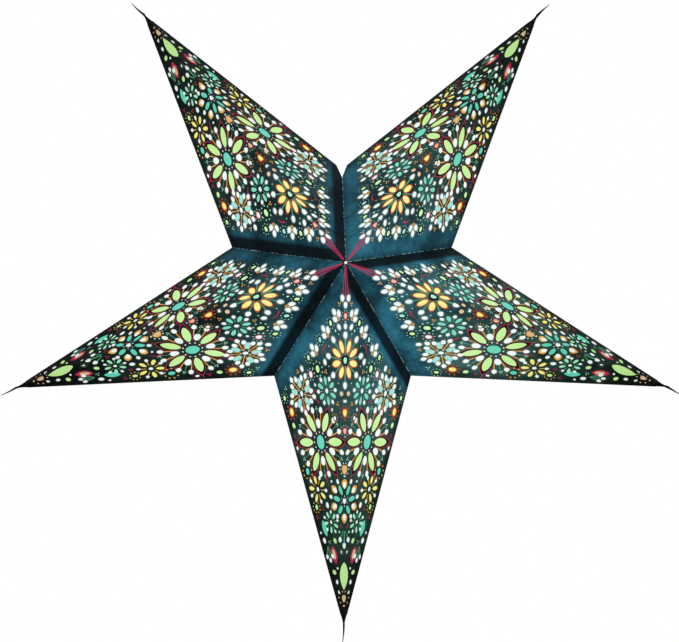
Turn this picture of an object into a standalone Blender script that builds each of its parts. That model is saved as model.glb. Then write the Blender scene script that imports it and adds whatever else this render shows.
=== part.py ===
"""Five-pointed paper star lantern with its lampholder and bulb, in metres, +Z up, front towards -Y.

Each point is one folded sheet: four triangular panels that meet at a pinched tip.
The origin is the top of the lampholder's cord gland, which the lantern hangs from.
"""

from math import atan2, cos, degrees, pi, radians, sin, sqrt, tan

import bmesh
import bpy
from mathutils import Matrix, Vector

# The star: the tips lie on tip_reach, the notches between the points on notch_reach,
# and the panels rise to half_depth over its middle, in front and behind.
tip_reach = 0.301
notch_reach = 0.102
half_depth = 0.110
point_count = 5

# Card, its lining and the glue tabs
card = 0.0003
lining = 0.00012
glue_line = 0.00008
ridge_relief = 0.00042
side_relief = 0.00036
valley_relief = 0.00058
centre_trim = 0.0026
tip_trim = 0.010
lining_margin = 0.0035
tab_width = 0.0140
tab_end = 0.0060
tab_clearance = 0.0005

# The cord's way out, cut from the corners at the open seam
cord_cut_side = 0.0065
cord_cut_seam = 0.0147

# Pinched tips
tip_gap = 0.0003
tail_length = 0.0145
tail_root = 0.0014
tail_end = 0.0005
tail_steps = 5
tail_sides = 8
tip_corner_share = 0.56
tail_flat_share = 0.78

# Lampholder, from the gland down. The gland's pointed seat carries the star by the creases at its seam,
# and the cap's shoulder slopes away under them, because the creases dip when the star folds.
gland_seat_reach = 0.0129
gland_seat_half_width = 0.0062
gland_seat = 0.0009
gland_nut_radius = 0.0044
gland_height = 0.0015
cord_hole_radius = 0.0023
seat_clearance = 0.00043
holder_radius = 0.0155
cap_depth = 0.0170
cap_rim = 0.0030
cap_foot = 0.0015
cap_shoulder = 0.0032
joint_gap = 0.00005
sleeve_radius = 0.0136
sleeve_length = 0.0300
sleeve_floor = 0.0050
sleeve_lip = 0.0018
sleeve_lip_height = 0.0030
socket_clearance = 0.0006

# Bulb
base_radius = 0.0069
base_length = 0.0235
thread_pitch = 0.0028
thread_depth = 0.0005
thread_turns = 4
contact_radius = 0.0030
contact_height = 0.0020
contact_gap = 0.0003
neck_radius = 0.0105
globe_radius = 0.0225
globe_length = 0.0600
globe_steps = 12
round_steps = 24

# Windows. A place is a share of the ridge's length from the tip, then one of the panel's width off the ridge.
# Sizes are shares of the panel's width: a heart's half length and half width, or a petal's reach from
# its flower's middle and then its halves. Turns are in degrees. The flowers at no distance off the ridge
# lie across it, half on each panel, so only the petals that miss the crease are windows here.
bloom_place_shares = (0.493, 0.333)
bloom_heart_shares = (0.0659, 0.0527)
bloom_petal_shares = (0.2011, 0.0890, 0.0369)
bloom_petals = 6
bloom_turn = 12
spray_place_shares = (0.612, 0.604)
spray_petal_shares = (0.0989, 0.0469, 0.0240)
spray_petals = 5
spray_turn = 20
sun_place_shares = (0.736, 0)
sun_petal_shares = (0.1250, 0.0584, 0.0281)
sun_turns = (22.5, 67.5, 112.5, 157.5)
rosette_place_shares = (0.350, 0)
rosette_petal_shares = (0.1042, 0.0479, 0.0240)
rosette_turns = (30, 90, 150)
petal_sides = 8
small_petal_sides = 6
petal_taper_share = 0.30

# Each point: name, its direction seen from the front, its two halves, and its tail's lean and bend
points = (
    ("bottom_point", 270, "right", "left", (0.0, -0.08)),
    ("left_point", 198, "lower", "upper", (0.25, -0.10)),
    ("top_left_point", 126, "lower", "upper", (0.33, -0.14)),
    ("right_point", 342, "upper", "lower", (-0.21, -0.04)),
    ("top_right_point", 54, "upper", "lower", (-0.11, -0.10)),
)
seam_direction = 90

card_colour = (0.012, 0.075, 0.090, 1.0)
tab_colour = (0.010, 0.045, 0.055, 1.0)
lining_colour = (0.78, 0.90, 0.62, 1.0)
tip_colour = (0.015, 0.018, 0.020, 1.0)
holder_colour = (0.85, 0.84, 0.80, 1.0)
brass_colour = (0.76, 0.60, 0.28, 1.0)
globe_colour = (0.95, 0.94, 0.88, 1.0)

# Sizes worked out from the ones above
half_sector = pi / point_count
seat_slope = half_depth / notch_reach
right_way = Vector((1, 0, 0))
up_way = Vector((0, 0, 1))
front_way = Vector((0, -1, 0))
gland_top = 0.0
gland_base = gland_top - gland_height
seat_height = notch_reach - (gland_seat_reach + seat_clearance) / seat_slope
star_centre = Vector((0, 0, gland_base + gland_seat - seat_height))

crown = (0.0, 0.0, half_depth)
tip = (tip_reach, 0.0, 0.0)
notch = (notch_reach * cos(half_sector), notch_reach * sin(half_sector), 0.0)
ridge_length = (Vector(crown) - Vector(tip)).length
side_length = (Vector(notch) - Vector(tip)).length
tip_angle = (Vector(crown) - Vector(tip)).angle(Vector(notch) - Vector(tip))
crown_angle = (Vector(tip) - Vector(crown)).angle(Vector(notch) - Vector(crown))
ridge_rise = atan2(half_depth, tip_reach)
side_spread = atan2(notch[1], tip_reach - notch[0])


def clear_scene():
    for thing in list(bpy.data.objects):
        bpy.data.objects.remove(thing, do_unlink=True)


def colour_of(name, colour, roughness, metallic=0.0):
    material = bpy.data.materials.new(name)
    material.use_nodes = True
    shader = material.node_tree.nodes["Principled BSDF"]
    shader.inputs["Base Color"].default_value = colour
    shader.inputs["Roughness"].default_value = roughness
    shader.inputs["Metallic"].default_value = metallic
    material.diffuse_color = colour
    return material


def place(name, mesh, origin, colour, roughness, metallic=0.0):
    """One named piece in a collection of its own, with its origin on its joint's axis."""
    body = bmesh.new()
    body.from_mesh(mesh)
    bmesh.ops.remove_doubles(body, verts=body.verts, dist=glue_line / 8)
    bmesh.ops.recalc_face_normals(body, faces=body.faces)
    if body.calc_volume(signed=True) < 0:
        bmesh.ops.reverse_faces(body, faces=body.faces)
    body.to_mesh(mesh)
    body.free()
    mesh.name = name
    thing = bpy.data.objects.new(name, mesh)
    thing.data.materials.append(colour_of(name, colour, roughness, metallic))
    home = bpy.data.collections.new(name)
    bpy.context.scene.collection.children.link(home)
    home.objects.link(thing)
    thing.location = origin
    return thing


def cut_sheet(outline, holes, thickness, lift):
    """A flat sheet with holes, its middle at lift over the plane of its outline."""
    curve = bpy.data.curves.new("outline", "CURVE")
    curve.dimensions = "2D"
    curve.fill_mode = "BOTH"
    curve.extrude = thickness / 2
    for ring in [outline] + holes:
        spline = curve.splines.new("POLY")
        spline.points.add(len(ring) - 1)
        for point, (x, y) in zip(spline.points, ring):
            point.co = (x, y, 0, 1)
        spline.use_cyclic_u = True
    carrier = bpy.data.objects.new("outline", curve)
    bpy.context.scene.collection.objects.link(carrier)
    bpy.context.view_layer.update()
    mesh = bpy.data.meshes.new_from_object(carrier.evaluated_get(bpy.context.evaluated_depsgraph_get()))
    bpy.data.objects.remove(carrier, do_unlink=True)
    bpy.data.curves.remove(curve)
    mesh.transform(Matrix.Translation((0, 0, lift)))
    return mesh


def edge_line(start, end, inset):
    """The line from start to end, moved inset to its left, as (normal, distance)."""
    along = (Vector(end) - Vector(start)).normalized()
    normal = Vector((along.y, -along.x))
    return normal, normal.dot(Vector(start)) - inset


def trimmed(corners, lines):
    """What is left of an outline once it is cut along each line."""
    for normal, distance in lines:
        kept = []
        for here, after in zip(corners, corners[1:] + corners[:1]):
            inside, next_inside = distance - normal.dot(here), distance - normal.dot(after)
            if inside >= 0:
                kept.append(here)
            if inside * next_inside < 0:
                kept.append(here.lerp(after, inside / (inside - next_inside)))
        corners = kept
    return corners


# Corners of a panel laid flat: the tip at zero, the ridge along X
flat_tip = Vector((0, 0))
flat_crown = Vector((ridge_length, 0))
flat_notch = Vector((side_length * cos(tip_angle), side_length * sin(tip_angle)))
to_notch = (flat_notch - flat_crown).normalized()
to_tip = (flat_tip - flat_notch).normalized()


def sheet_outline(inset, at_seam, valley_inset):
    """The edges of a panel or its lining."""
    middle_way = Vector((-cos(crown_angle / 2), sin(crown_angle / 2)))
    middle_at = flat_crown + middle_way * (centre_trim + inset)
    end_top = flat_tip - to_tip * (tip_trim / cos(side_spread))
    end_foot = Vector((tip_trim / cos(ridge_rise), 0))
    lines = [
        edge_line(flat_tip, flat_crown, ridge_relief + inset),
        (-middle_way, -middle_way.dot(middle_at)),
        edge_line(flat_crown, flat_notch, valley_inset),
        edge_line(flat_notch, flat_tip, side_relief + inset),
        edge_line(end_top, end_foot, inset),
    ]
    if at_seam:
        cut_start = flat_notch - to_notch * cord_cut_seam
        cut_end = flat_notch + to_tip * cord_cut_side
        lines.append(edge_line(cut_start, cut_end, inset))
    return trimmed([flat_tip, flat_crown, flat_notch], lines)


def tab_outline(at_seam):
    """The strip glued behind a panel, along its valley."""
    notch_end = (cord_cut_seam if at_seam else 0) + tab_end
    return trimmed([flat_tip, flat_crown, flat_notch], [
        edge_line(flat_crown, flat_notch, valley_relief),
        edge_line(flat_notch, flat_crown, -tab_width),
        (to_notch, to_notch.dot(flat_notch) - notch_end),
        (-to_notch, -to_notch.dot(flat_crown) - tab_end),
        edge_line(flat_tip, flat_crown, ridge_relief + tab_clearance),
    ])


def oval(taper, x, y, half_length, half_width, turn, sides):
    """A window's outline: an oval, drawn in towards one end for a petal."""
    ring = []
    for step in range(sides):
        angle = 2 * pi * step / sides
        along = half_length * cos(angle)
        across = half_width * sin(angle) * (1 + taper * cos(angle))
        ring.append((
            x + along * cos(turn) - across * sin(turn),
            y + along * sin(turn) + across * cos(turn),
        ))
    return ring


def ring_of_petals(place_shares, petal_shares, turns, taper, sides):
    """The windows of one flower's petals, at the given turns about its middle."""
    panel_width = flat_notch.y
    x, y = place_shares[0] * ridge_length, place_shares[1] * panel_width
    reach, half_length, half_width = (share * panel_width for share in petal_shares)
    rings = []
    for degree in turns:
        turn = radians(degree)
        spot = (x + reach * cos(turn), y + reach * sin(turn))
        rings.append(oval(taper, *spot, half_length, half_width, turn, sides))
    return rings


def windows():
    """The larger windows of one panel, in its flat coordinates."""
    bloom_turns = [bloom_turn + 360 * (petal + 0.5) / bloom_petals for petal in range(bloom_petals)]
    spray_turns = [spray_turn + 360 * petal / spray_petals for petal in range(spray_petals)]
    x, y = bloom_place_shares[0] * ridge_length, bloom_place_shares[1] * flat_notch.y
    half_length, half_width = (share * flat_notch.y for share in bloom_heart_shares)
    heart = oval(0, x, y, half_length, half_width, radians(bloom_turn), petal_sides)
    return [
        heart,
        *ring_of_petals(bloom_place_shares, bloom_petal_shares, bloom_turns, petal_taper_share, petal_sides),
        *ring_of_petals(spray_place_shares, spray_petal_shares, spray_turns, 0, small_petal_sides),
        *ring_of_petals(sun_place_shares, sun_petal_shares, sun_turns, 0, small_petal_sides),
        *ring_of_petals(rosette_place_shares, rosette_petal_shares, rosette_turns, 0, small_petal_sides),
    ]


def star_point(direction, along, across, out):
    """A place in the star, from its middle: along a point's middle line, across it and out to the front."""
    angle = radians(direction)
    along_way = right_way * cos(angle) + up_way * sin(angle)
    across_way = up_way * cos(angle) - right_way * sin(angle)
    return along_way * along + across_way * across + front_way * out


def panel_matrix(direction, half, face):
    """From a panel's flat coordinates to the row's, about its tip. half and face are 1 or -1."""
    corners = [star_point(direction, a, b * half, c * face) for a, b, c in (tip, crown, notch)]
    ridge_way = (corners[1] - corners[0]).normalized()
    side = corners[2] - corners[0]
    off_way = (side - ridge_way * side.dot(ridge_way)).normalized()
    out_way = ridge_way.cross(off_way) * (half * face)
    return Matrix((ridge_way, off_way, -out_way)).transposed().to_4x4()


def add_panels():
    """The twenty panels with their linings, and the glue tabs behind those that carry one."""
    holes = windows()
    for name, direction, ahead, behind, _tail in points:
        origin = star_centre + star_point(direction, tip_reach, 0, 0)
        for half, half_name in ((1, ahead), (-1, behind)):
            edge = (direction + half * degrees(half_sector)) % 360
            at_seam = abs(edge - seam_direction) < 1
            has_tab = (half == 1 and not at_seam) or (half == -1 and at_seam)
            behind_tab = tab_width + tab_clearance if has_tab else valley_relief + lining_margin
            for face, face_name in ((1, "front"), (-1, "back")):
                turn = panel_matrix(direction, half, face)
                label = f"{name}_{face_name}_{half_name}"
                outline = sheet_outline(0, at_seam, valley_relief)
                mesh = cut_sheet(outline, holes, card, card / 2)
                mesh.transform(turn)
                place(label + "_panel", mesh, origin, card_colour, 0.75)
                outline = sheet_outline(lining_margin, at_seam, behind_tab)
                mesh = cut_sheet(outline, [], lining, -glue_line - lining / 2)
                mesh.transform(turn)
                place(label + "_lining", mesh, origin, lining_colour, 0.85)
                if has_tab:
                    mesh = cut_sheet(tab_outline(at_seam), [], card, -glue_line - card / 2)
                    mesh.transform(turn)
                    place(label + "_tab", mesh, origin, tab_colour, 0.75)


def ring_of(body, centre, across_way, out_way, half_width, half_height):
    """A ring of corners round a tail, drawn out at the creases."""
    ring = []
    for step in range(tail_sides):
        angle = 2 * pi * step / tail_sides
        pull = 1 if step % 2 == 0 else tip_corner_share / cos(pi / 4)
        across = half_width * cos(angle) * pull
        out = half_height * sin(angle) * pull
        ring.append(body.verts.new(centre + across_way * across + out_way * out))
    return ring


def add_tips():
    """The pinched end of each point: a small four-sided cone that runs out in a thin bent tail."""
    for name, direction, _ahead, _behind, (lean, bend) in points:
        body = bmesh.new()
        across_way = star_point(direction, 0, 1, 0)
        rings = []
        root = tip_trim - tip_gap
        rings.append(ring_of(body, star_point(direction, -root, 0, 0), across_way, front_way,
                             root * tan(side_spread), root * tan(ridge_rise)))
        for step in range(tail_steps + 1):
            share = step / tail_steps
            half_width = tail_root + (tail_end - tail_root) * share
            spot = star_point(direction, tail_length * share, tail_length * share * (lean + bend * share), 0)
            rings.append(ring_of(body, spot, across_way, front_way, half_width * tail_flat_share, half_width))
        for low, high in zip(rings, rings[1:]):
            for step in range(tail_sides):
                after = (step + 1) % tail_sides
                body.faces.new((low[step], low[after], high[after], high[step]))
        body.faces.new(rings[0][::-1])
        body.faces.new(rings[-1])
        mesh = bpy.data.meshes.new(name)
        body.to_mesh(mesh)
        body.free()
        place(name + "_tip", mesh, star_centre + star_point(direction, tip_reach, 0, 0), tip_colour, 0.6)


def revolve(profile):
    """A closed shape turned from its half section, given as (radius, height) from top to bottom."""
    body = bmesh.new()
    corners = [body.verts.new((radius, 0, height)) for radius, height in profile]
    edges = [body.edges.new(pair) for pair in zip(corners, corners[1:] + corners[:1])]
    on_axis = [edge for edge in edges if all(corner.co.x < joint_gap / 4 for corner in edge.verts)]
    bmesh.ops.delete(body, geom=on_axis, context="EDGES_FACES")
    edges = [edge for edge in body.edges]
    bmesh.ops.spin(body, geom=list(body.verts) + edges, cent=(0, 0, 0), axis=(0, 0, 1),
                   angle=2 * pi, steps=round_steps, use_merge=True, use_duplicate=False)
    bmesh.ops.remove_doubles(body, verts=body.verts, dist=glue_line / 8)
    mesh = bpy.data.meshes.new("turned")
    body.to_mesh(mesh)
    body.free()
    return mesh


def gland():
    """A round nut on a seat with two points, one at the front and one at the back, round the cord's hole."""
    angles = [2 * pi * step / round_steps for step in range(round_steps)]
    half_width, reach = gland_seat_half_width, gland_seat_reach
    seat = [1 / (abs(cos(angle)) / half_width + abs(sin(angle)) / reach) for angle in angles]
    hole, nut = [cord_hole_radius] * round_steps, [gland_nut_radius] * round_steps
    seat_top = gland_base + gland_seat
    body = bmesh.new()
    rings = []
    for radii, height in ((hole, gland_top), (nut, gland_top), (nut, seat_top), (seat, seat_top),
                          (seat, gland_base), (hole, gland_base)):
        rings.append([body.verts.new((radius * cos(angle), radius * sin(angle), height))
                      for angle, radius in zip(angles, radii)])
    for ring, below in zip(rings, rings[1:] + rings[:1]):
        for step in range(round_steps):
            after = (step + 1) % round_steps
            body.faces.new((ring[step], ring[after], below[after], below[step]))
    mesh = bpy.data.meshes.new("gland")
    body.to_mesh(mesh)
    body.free()
    return mesh


def add_lamp():
    """The lampholder that the star hangs on by its gland, and the bulb screwed into it."""
    place("cord_gland", gland(), (0, 0, 0), holder_colour, 0.45)

    cap_top = gland_base - joint_gap
    shoulder = cap_shoulder * seat_slope
    cap_bottom = cap_top - cap_depth
    place("lampholder_cap", revolve([
        (cord_hole_radius, cap_top),
        (holder_radius - shoulder, cap_top),
        (holder_radius, cap_top - cap_shoulder),
        (holder_radius, cap_bottom + cap_rim),
        (holder_radius - cap_foot, cap_bottom),
        (cord_hole_radius, cap_bottom),
    ]), (0, 0, 0), holder_colour, 0.45)

    sleeve_top = cap_bottom - joint_gap
    sleeve_bottom = sleeve_top - sleeve_length
    socket_radius = base_radius + socket_clearance
    socket_top = sleeve_top - sleeve_floor
    place("lampholder_sleeve", revolve([
        (0, sleeve_top),
        (sleeve_radius, sleeve_top),
        (sleeve_radius, sleeve_bottom + sleeve_lip_height),
        (sleeve_radius + sleeve_lip, sleeve_bottom + sleeve_lip_height - sleeve_lip / 2),
        (sleeve_radius + sleeve_lip, sleeve_bottom),
        (socket_radius, sleeve_bottom),
        (socket_radius, socket_top),
        (0, socket_top),
    ]), (0, 0, 0), holder_colour, 0.45)

    base_top = socket_top - contact_gap
    barrel_top = base_top - contact_height
    base_bottom = base_top - base_length
    profile = [(0, base_top), (contact_radius, base_top), (contact_radius, base_top - contact_height / 2)]
    profile.append((base_radius - thread_depth, barrel_top))
    for turn in range(thread_turns):
        height = barrel_top - thread_pitch * (turn + 1)
        profile.append((base_radius, height + thread_pitch / 2))
        profile.append((base_radius - thread_depth, height))
    profile += [(base_radius, base_bottom), (0, base_bottom)]
    place("bulb_base", revolve(profile), (0, 0, 0), brass_colour, 0.35, 1.0)

    globe_top = base_bottom - joint_gap
    globe_middle = globe_top - globe_length + globe_radius
    profile = [(0, globe_top), (base_radius, globe_top)]
    neck_angle = atan2(sqrt(globe_radius ** 2 - neck_radius ** 2), neck_radius)
    neck_height = globe_middle + globe_radius * sin(neck_angle)
    profile.append((base_radius, globe_top - (globe_top - neck_height) / 3))
    for step in range(globe_steps):
        angle = neck_angle - (neck_angle + pi / 2) * step / globe_steps
        profile.append((globe_radius * cos(angle), globe_middle + globe_radius * sin(angle)))
    profile.append((0, globe_middle - globe_radius))
    place("bulb_globe", revolve(profile), (0, 0, 0), globe_colour, 0.25)


clear_scene()
add_panels()
add_tips()
add_lamp()
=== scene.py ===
from math import atan2, cos, degrees, pi, radians, sin, sqrt

import bpy
import numpy as np
from mathutils import Matrix, Vector
from mathutils.geometry import delaunay_2d_cdt


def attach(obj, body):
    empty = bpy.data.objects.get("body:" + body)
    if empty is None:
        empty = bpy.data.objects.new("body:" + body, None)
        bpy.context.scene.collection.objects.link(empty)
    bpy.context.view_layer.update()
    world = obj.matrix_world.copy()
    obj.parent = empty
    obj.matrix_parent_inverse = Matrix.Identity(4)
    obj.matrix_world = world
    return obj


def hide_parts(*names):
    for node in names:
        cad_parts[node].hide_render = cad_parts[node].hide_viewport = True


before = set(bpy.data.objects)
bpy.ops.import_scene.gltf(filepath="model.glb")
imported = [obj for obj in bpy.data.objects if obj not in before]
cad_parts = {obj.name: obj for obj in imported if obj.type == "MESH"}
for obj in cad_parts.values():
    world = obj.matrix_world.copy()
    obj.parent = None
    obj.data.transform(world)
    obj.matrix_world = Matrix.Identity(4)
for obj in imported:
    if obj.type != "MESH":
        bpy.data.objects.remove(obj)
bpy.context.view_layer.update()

# The star, in metres: +X right, -Y to the front, +Z up, with the top of the cord gland at the origin.
# A point's frame has its origin at the star's middle. It runs along the point, across it and to the front.

mm = 0.001
TIP_REACH, NOTCH_REACH, HALF_DEPTH = 0.301, 0.102, 0.110
CENTRE = np.array([0.0, 0.0, -0.0902395])

# Thicknesses of the sheets, and of the glue between them
CARD = 0.3 * mm
TISSUE = 0.12 * mm
GLUE = 0.08 * mm

# What is trimmed off a panel's corners. The cord's cut goes down the seam and out along the side crease.
TIP_TRIM = 9.9 * mm
CROWN_TRIM = 1.5 * mm
CORD_CUT_SEAM = 14.7 * mm
CORD_CUT_SIDE = 6.5 * mm

# The card reaches a little past the creases, and the glue tab and the tissue stay clear of them
CARD_OVERHANG = 0.1 * mm
TAB_WIDTH = 14 * mm
TAB_INSET = 1.0 * mm
TAB_RIDGE_INSET = 0.8 * mm
TAB_END_INSET = 6 * mm
TISSUE_TAB_GAP = 0.5 * mm
TISSUE_VALLEY_INSET = 1.2 * mm
TISSUE_TIP_INSET = 1 * mm

# The tissue's colour runs on behind the card, and the light of the larger white windows spills over the card
COLOUR_OVERLAP = 0.3 * mm
SPILL_REACH = 1.3 * mm
SPILLING_LENGTH = 2.4 * mm

TAIL_LENGTH = 14.5 * mm
TAIL_END = 0.3 * mm

# Each point's direction in degrees, the halves ahead of and behind it, its tail's lean and bend in tail
# lengths, and its thickness in millimetres
POINTS = {
    "bottom_point": (270, "right", "left", 0.0, -0.08, 0.95),
    "left_point": (198, "lower", "upper", 0.25, -0.10, 1.0),
    "top_left_point": (126, "lower", "upper", 0.33, -0.14, 1.15),
    "right_point": (342, "upper", "lower", -0.21, -0.04, 1.2),
    "top_right_point": (54, "upper", "lower", -0.11, -0.10, 1.3),
}
HALF_POINT_TURN = 36
SEAM = 90
ROOT = "lampholder_and_bottom_tip"

CROWN = np.array([0, 0, HALF_DEPTH])
TIP = np.array([TIP_REACH, 0, 0])
NOTCH = NOTCH_REACH * np.array([cos(pi / 5), sin(pi / 5), 0])


def unit(vector):
    return vector / np.linalg.norm(vector)


# A panel laid flat: the tip at zero, the ridge along X and the notch above it
RIDGE = np.linalg.norm(CROWN - TIP)
SIDE = np.linalg.norm(NOTCH - TIP)
TIP_ANGLE = np.arccos(unit(CROWN - TIP) @ unit(NOTCH - TIP))
FLAT_TIP, FLAT_CROWN = np.array([0.0, 0.0]), np.array([RIDGE, 0.0])
FLAT_NOTCH = SIDE * np.array([cos(TIP_ANGLE), sin(TIP_ANGLE)])
VALLEY_WAY = unit(FLAT_NOTCH - FLAT_CROWN)
VALLEY_NORMAL = np.array([VALLEY_WAY[1], -VALLEY_WAY[0]])
CROWN_ANGLE = pi - atan2(VALLEY_WAY[1], VALLEY_WAY[0])


def point_ways(direction):
    """The three unit vectors of a point's frame: along it, across it and to the front."""
    turn = radians(direction)
    return np.array([[cos(turn), 0, sin(turn)], [-sin(turn), 0, cos(turn)], [0, -1, 0]])


def panel_ways(direction, half, face):
    """Origin and unit vectors of a panel: along its ridge, off the ridge in the panel, and outwards."""
    corners = np.array([TIP, CROWN, NOTCH]) * [1, half, face] @ point_ways(direction)
    along = unit(corners[1] - corners[0])
    side = corners[2] - corners[0]
    off = unit(side - along * (side @ along))
    return corners[0] + CENTRE, np.array([along, off, np.cross(along, off) * -half * face])


# Colours, as linear light

TISSUES = {
    "white": (0.90, 1.00, 0.95),
    "lime": (0.56, 0.90, 0.33),
    "turquoise": (0.12, 0.66, 0.48),
    "cyan": (0.24, 0.77, 0.74),
    "yellow": (0.97, 0.86, 0.20),
    "tan": (0.74, 0.50, 0.28),
    "mint": (0.36, 0.86, 0.54),
}
BARE_TISSUE = (0.55, 0.62, 0.50)
INKS = {
    "crimson ink": (0.50, 0.030, 0.085),
    "gold ink": (0.95, 0.50, 0.10),
    "green ink": (0.110, 0.400, 0.230),
    "orange ink": (0.55, 0.080, 0.015),
    "dark ink": (0.003, 0.008, 0.009),
}


# The pattern of one panel, in millimetres on its flat shape

def laid(x, y, turn, along, across):
    """Points given along and across a direction in degrees, put down at x, y."""
    a = radians(turn)
    return np.stack([x + along * cos(a) - across * sin(a), y + along * sin(a) + across * cos(a)], 1)


def oval(x, y, half_length, half_width, turn=0.0, taper=0.0, sides=12):
    """cos t along and sin t (1 + taper cos t) across, times the halves."""
    t = np.arange(sides) * 2 * pi / sides
    return laid(x, y, turn, half_length * np.cos(t), half_width * np.sin(t) * (1 + taper * np.cos(t)))


def leaf(x, y, half_length, half_width, turn=0.0, sides=18, point=0.7):
    """An oval drawn to a point at both ends.

    It is cos t along and sin t |sin t| ^ point across, times the halves.
    """
    t = np.arange(sides) * 2 * pi / sides
    return laid(x, y, turn, half_length * np.cos(t), half_width * np.sin(t) * np.abs(np.sin(t)) ** point)


def away(x, y, turn, reach):
    return x + reach * cos(radians(turn)), y + reach * sin(radians(turn))


def stem(x, y, turn, start, end, width):
    """A thin straight stroke that leaves x, y at an angle, twice as wide at its far end."""
    along, across = np.array([start, end, end, start]), np.array([-0.3, -0.6, 0.6, 0.3]) * width
    return laid(x, y, turn, along, across)


def tendril(x, y, turn, length, sway, width):
    """A curved stroke that narrows to a fifth of its width.

    Its middle is s of the length along and 4 sway s (1 - s) across, for s from 0 to 1.
    """
    s = np.linspace(0, 1, 8)
    along, middle = length * s, sway * 4 * s * (1 - s)
    half = width / 2 * (1 - 0.8 * s)
    return laid(x, y, turn, np.r_[along, along[::-1]], np.r_[middle - half, (middle + half)[::-1]])


def drop(x, y, turn, reach, size):
    """A white oval at a distance from x, y."""
    return "white", oval(*away(x, y, turn, reach), size, size * 0.82, turn, -0.12, 10)


def dots(colour, x, y, reach, count, size, turn=0.0):
    """A ring of small round dots."""
    places = [away(x, y, turn + 360 * k / count, reach) for k in range(count)]
    return [(colour, oval(*place, size, size, 0, 0, 7)) for place in places]


def drop_fan(x, y, turn, start, reach, size, ink, spread):
    """Three thin stems that spread out, the middle one longer, each with a white drop at its end."""
    shapes = []
    for side, extra in ((-spread, -0.9), (0, 0.3), (spread, -0.9)):
        far = reach + extra * size
        shapes.append((ink, stem(x, y, turn + side, start, far - size * 0.8, 0.85)))
        shapes.append(drop(x, y, turn + side, far, size))
    return shapes


def clover_chain(x, y, turn, start, count):
    """A row of mint dots that ends in three."""
    step = 1.75
    shapes = [("mint", oval(*away(x, y, turn, start + step * k), 0.5, 0.5, 0, 0, 6)) for k in range(count)]
    return shapes + dots("mint", *away(x, y, turn, start + step * count + 1.0), 1.15, 3, 0.78, turn)


def bloom(x, y, turn):
    """Six outlined lime petals round a turquoise heart, with white ovals and drops between them."""
    shapes = []
    for k in range(6):
        gap = turn + 60 * k
        petal = gap + 30
        shapes += [
            ("crimson ink", stem(x, y, petal, 31.0, 37.5, 0.7)),
            ("crimson ink", leaf(*away(x, y, petal, 20.7), 13.4, 5.5, petal, 22)),
            ("dark ink", leaf(*away(x, y, petal, 20.3), 12.6, 5.1, petal, 20)),
            ("lime", leaf(*away(x, y, petal, 19.6), 9.4, 3.8, petal, 18, 0.25)),
            ("white", oval(*away(x, y, gap, 16.2), 4.2, 3.1, gap, 0.15, 14)),
            *clover_chain(x, y, gap, 21.6, 4),
        ]
        for side in (-11.5, 11.5):
            shapes.append(("gold ink", stem(x, y, gap + side, 17.5, 26.0, 0.95)))
            shapes.append(drop(x, y, gap + side, 28.4, 2.9))
    shapes += dots("white", x, y, 8.7, 12, 0.85, turn)
    shapes.append(("turquoise", oval(x, y, 6.32, 5.06, turn, 0, 18)))
    return shapes


def spray(x, y, turn):
    """Five cyan petals round a white heart, with a fan of gold stems in each gap."""
    shapes = []
    for k in range(5):
        petal = turn + 72 * k
        shapes.append(("cyan", oval(*away(x, y, petal, 9.6), 4.5, 2.3, petal, 0, 12)))
        shapes += drop_fan(x, y, petal + 36, 4.6, 16.2, 2.7, "gold ink", 19)
    shapes += dots("white", x, y, 4.1, 5, 0.75, turn + 36)
    shapes.append(("white", oval(x, y, 2.5, 2.0, turn, 0, 10)))
    return shapes


def sun(x, y):
    """Eight yellow petals in orange points round a mint heart, with green stems between them."""
    shapes = []
    for k in range(8):
        gap = 45 * k
        petal = gap + 22.5
        shapes += [
            ("orange ink", leaf(*away(x, y, petal, 12.2), 7.2, 3.6, petal, 18)),
            ("yellow", oval(*away(x, y, petal, 12.0), 5.6, 2.7, petal, 0.1, 12)),
            ("green ink", stem(x, y, gap, 4.6, 20.0, 0.95)),
            drop(x, y, gap, 22.0, 3.0),
            ("mint", oval(*away(x, y, petal, 23.2), 0.8, 0.8, 0, 0, 7)),
        ]
    shapes.append(("dark ink", oval(x, y, 4.6, 4.6, 0, 0, 14)))
    shapes.append(("mint", oval(x, y, 2.9, 2.4, 0, 0, 12)))
    return shapes


def rosette(x, y):
    """Six turquoise petals with a white oval on a gold cup in each gap."""
    shapes = []
    for k in range(6):
        gap = 60 * k
        petal = gap + 30
        shapes += [
            ("gold ink", leaf(*away(x, y, gap, 15.4), 4.3, 3.5, gap, 14)),
            ("white", oval(*away(x, y, gap, 14.2), 3.0, 2.15, gap, 0, 12)),
            ("turquoise", oval(*away(x, y, petal, 10.0), 4.6, 2.3, petal, 0, 12)),
            drop(x, y, petal, 18.0, 2.3),
        ]
    shapes += dots("white", x, y, 4.4, 6, 0.6, 0)
    shapes.append(("white", oval(x, y, 2.4, 2.4, 0, 0, 12)))
    return shapes


def daisy(x, y, petals, reach, colour, ink, turn):
    """A small ring of petals with a stemmed drop beyond each gap."""
    shapes = []
    for k in range(petals):
        petal, gap = turn + 360 * k / petals, turn + 360 * (k + 0.5) / petals
        shapes += [
            (colour, oval(*away(x, y, petal, reach), reach * 0.46, reach * 0.23, petal, 0.2, 12)),
            (ink, stem(x, y, gap, reach * 0.5, reach * 1.2, 0.85)),
            drop(x, y, gap, reach * 1.34, 0.24 * reach),
        ]
    shapes.append(("white", oval(x, y, reach * 0.25, reach * 0.22, turn, 0, 10)))
    return shapes


def medallion(x, y, size, colour, rim, dot):
    """An oval in a printed rim, in a ring of dots."""
    return dots(dot, x, y, size * 1.9, 9, 0.26 * size, 15) + [
        (rim, oval(x, y, size * 1.4, size * 1.12, 15, 0, 14)),
        (colour, oval(x, y, size, size * 0.76, 15, 0, 12)),
    ]


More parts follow.
